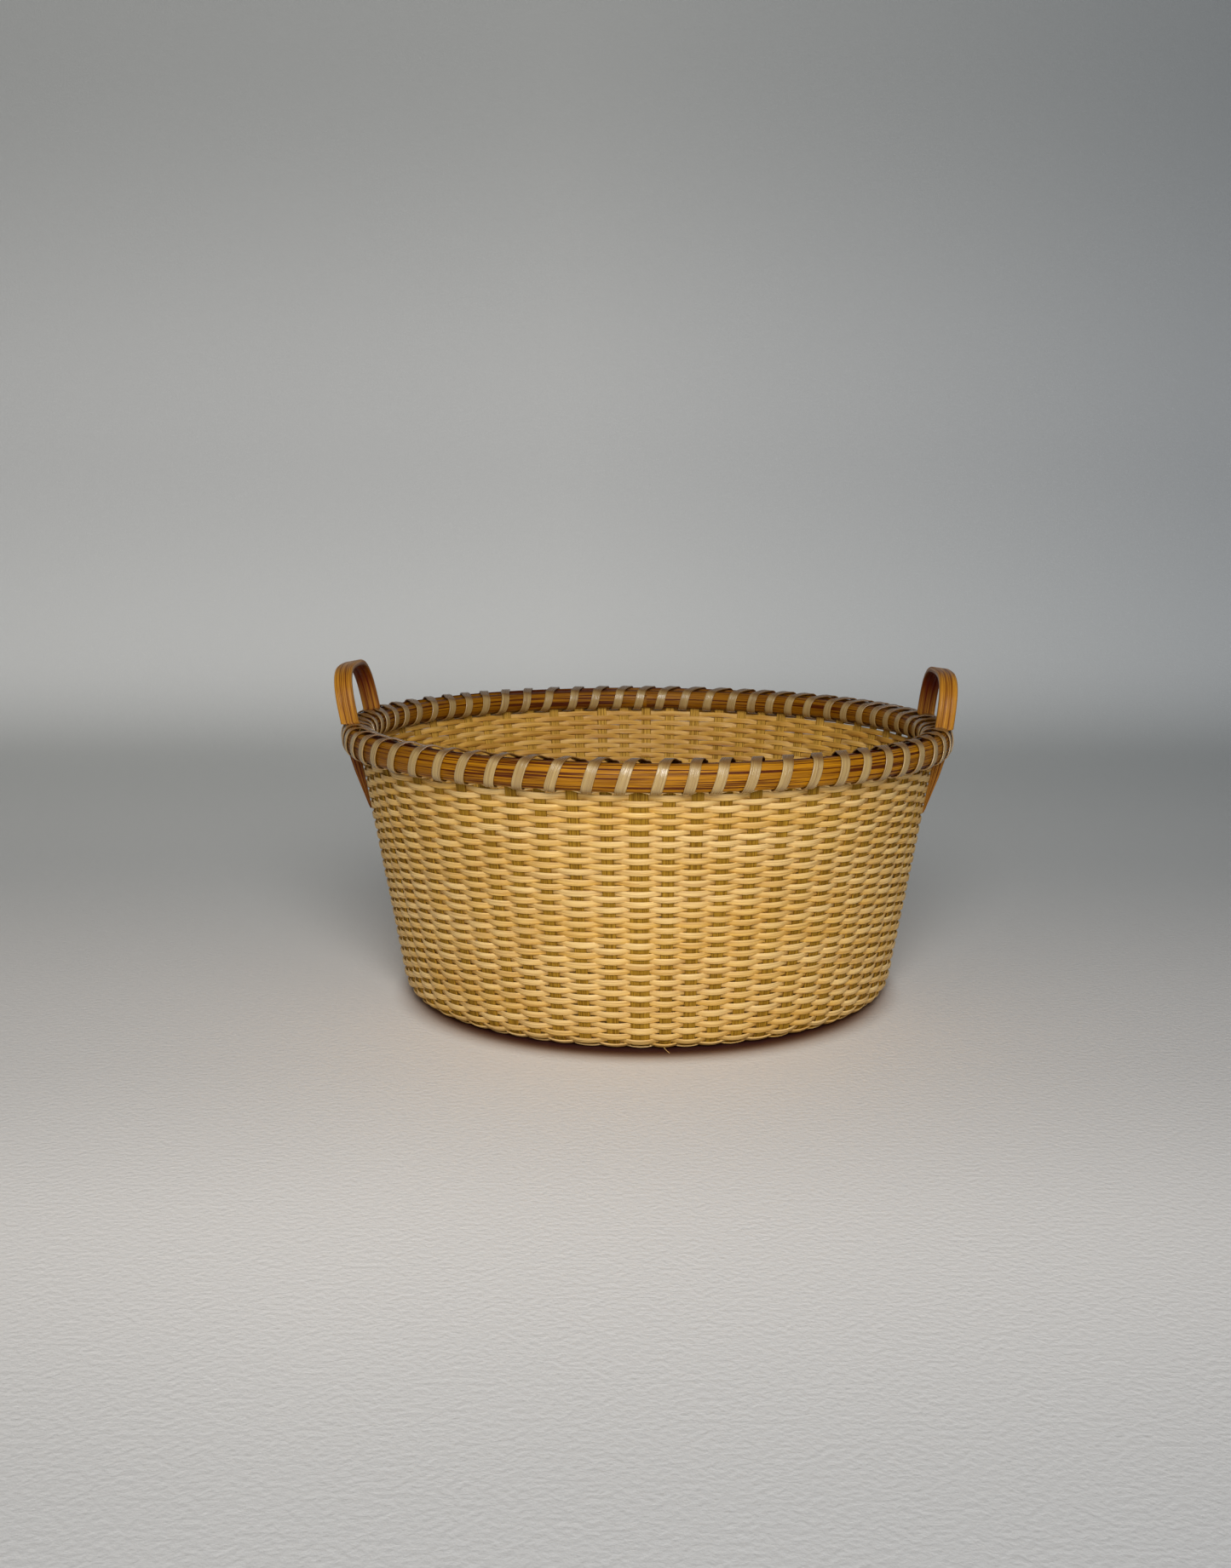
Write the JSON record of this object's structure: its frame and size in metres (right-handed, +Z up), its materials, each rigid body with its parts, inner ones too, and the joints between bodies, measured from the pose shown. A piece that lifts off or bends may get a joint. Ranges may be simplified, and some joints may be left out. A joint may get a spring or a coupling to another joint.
{
  "type": "woven basket",
  "caption": "Round open basket woven from flat wooden splints, with two lashed rim hoops and two fixed bent-wood ear handles.",
  "frame": {"origin": "middle of the floor that the basket stands on", "axes": "+Z up, -Y towards the side that the picture shows, the handles near -X and +X"},
  "size_m": [0.3063, 0.306, 0.1643],
  "materials": {
    "spokes": "bare split wood, satin",
    "weavers": "bare split wood, satin",
    "hoops": "oiled bent wood, satin",
    "lashing": "pale flat strip, satin",
    "handles": "oiled bent wood, satin"
  },
  "bodies": {
    "root": {"spoke_01": "spokes", "spoke_02": "spokes", "spoke_03": "spokes", "spoke_04": "spokes", "spoke_05": "spokes", "spoke_06": "spokes", "spoke_07": "spokes", "spoke_08": "spokes", "spoke_09": "spokes", "spoke_10": "spokes", "spoke_11": "spokes", "spoke_12": "spokes", "spoke_13": "spokes", "spoke_14": "spokes", "spoke_15": "spokes", "spoke_16": "spokes", "odd_half_spoke": "spokes", "base_weaving": "weavers", "wall_weaving": "weavers", "rim_row": "weavers", "outer_rim": "hoops", "inner_rim": "hoops", "lashing_1": "lashing", "lashing_2": "lashing", "lashing_3": "lashing", "handle_left": "handles", "handle_right": "handles"}
  },
  "joints": []
}
